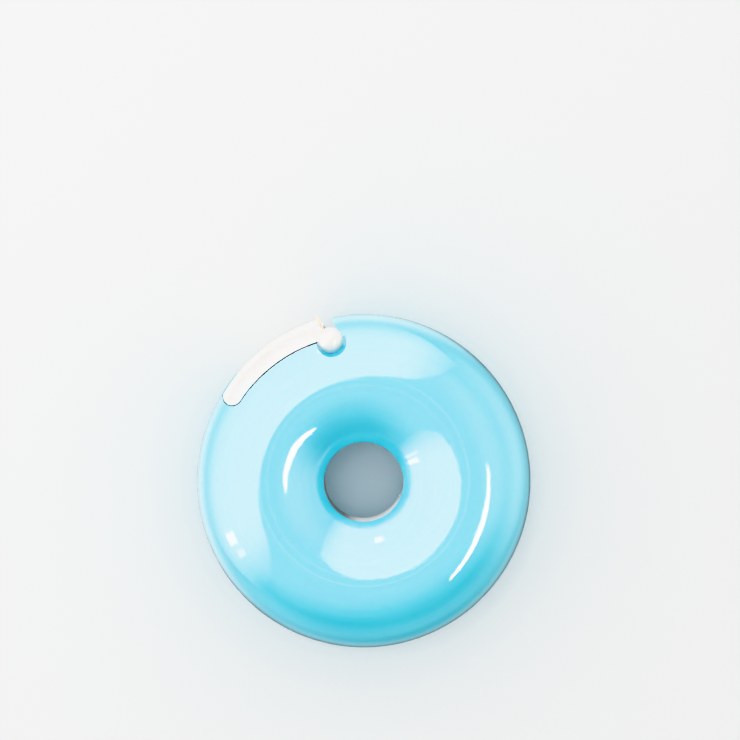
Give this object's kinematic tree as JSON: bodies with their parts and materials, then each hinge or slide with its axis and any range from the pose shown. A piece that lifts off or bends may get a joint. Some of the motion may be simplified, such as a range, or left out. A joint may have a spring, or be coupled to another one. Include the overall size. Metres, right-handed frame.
{
  "type": "tape dispenser",
  "caption": "Ring-shaped handheld tape dispenser: glossy half shells snapped round a roll of tape, with a hinged cutter arm set flush in the rim.",
  "frame": {"origin": "centre of the underside, on the ring's axis, with the dispenser lying on its back", "axes": "+Z along the ring's axis towards the front; +Y towards the top, where the cutter arm and the tape slot are; +X to the right seen from the front"},
  "size_m": [0.073, 0.073, 0.029],
  "materials": {
    "shell_plastic": "high gloss, pale cyan",
    "arm_plastic": "gloss white",
    "blade_steel": "stamped stainless strip",
    "core_board": "wound paperboard, matt",
    "tape_film": "clear film wound in layers",
    "tab_paper": "matt paper tab"
  },
  "bodies": {
    "back_half": {"back_shell": "shell_plastic"},
    "front_half": {"front_shell": "shell_plastic"},
    "cutter": {"cutter_arm": "arm_plastic", "cutter_blade": "blade_steel"},
    "tape_roll": {"tape_core": "core_board", "tape_winding": "tape_film", "tape_end_tab": "tab_paper"}
  },
  "joints": [
    {"name": "front_lift", "type": "slide", "parent": "back_half", "child": "front_half", "axis": [0, 0, 1], "range_m": [0, 0.03]},
    {"name": "cutter_hinge", "type": "hinge", "parent": "front_half", "child": "cutter", "pos_m": [-0.00717, 0.03057, 0.01448], "axis": [0, 0, -1], "range_deg": [0, 25]},
    {"name": "roll_spin", "type": "hinge", "parent": "back_half", "child": "tape_roll", "pos_m": [0, 0, 0.01448], "axis": [0, 0, 1], "continuous": true}
  ]
}
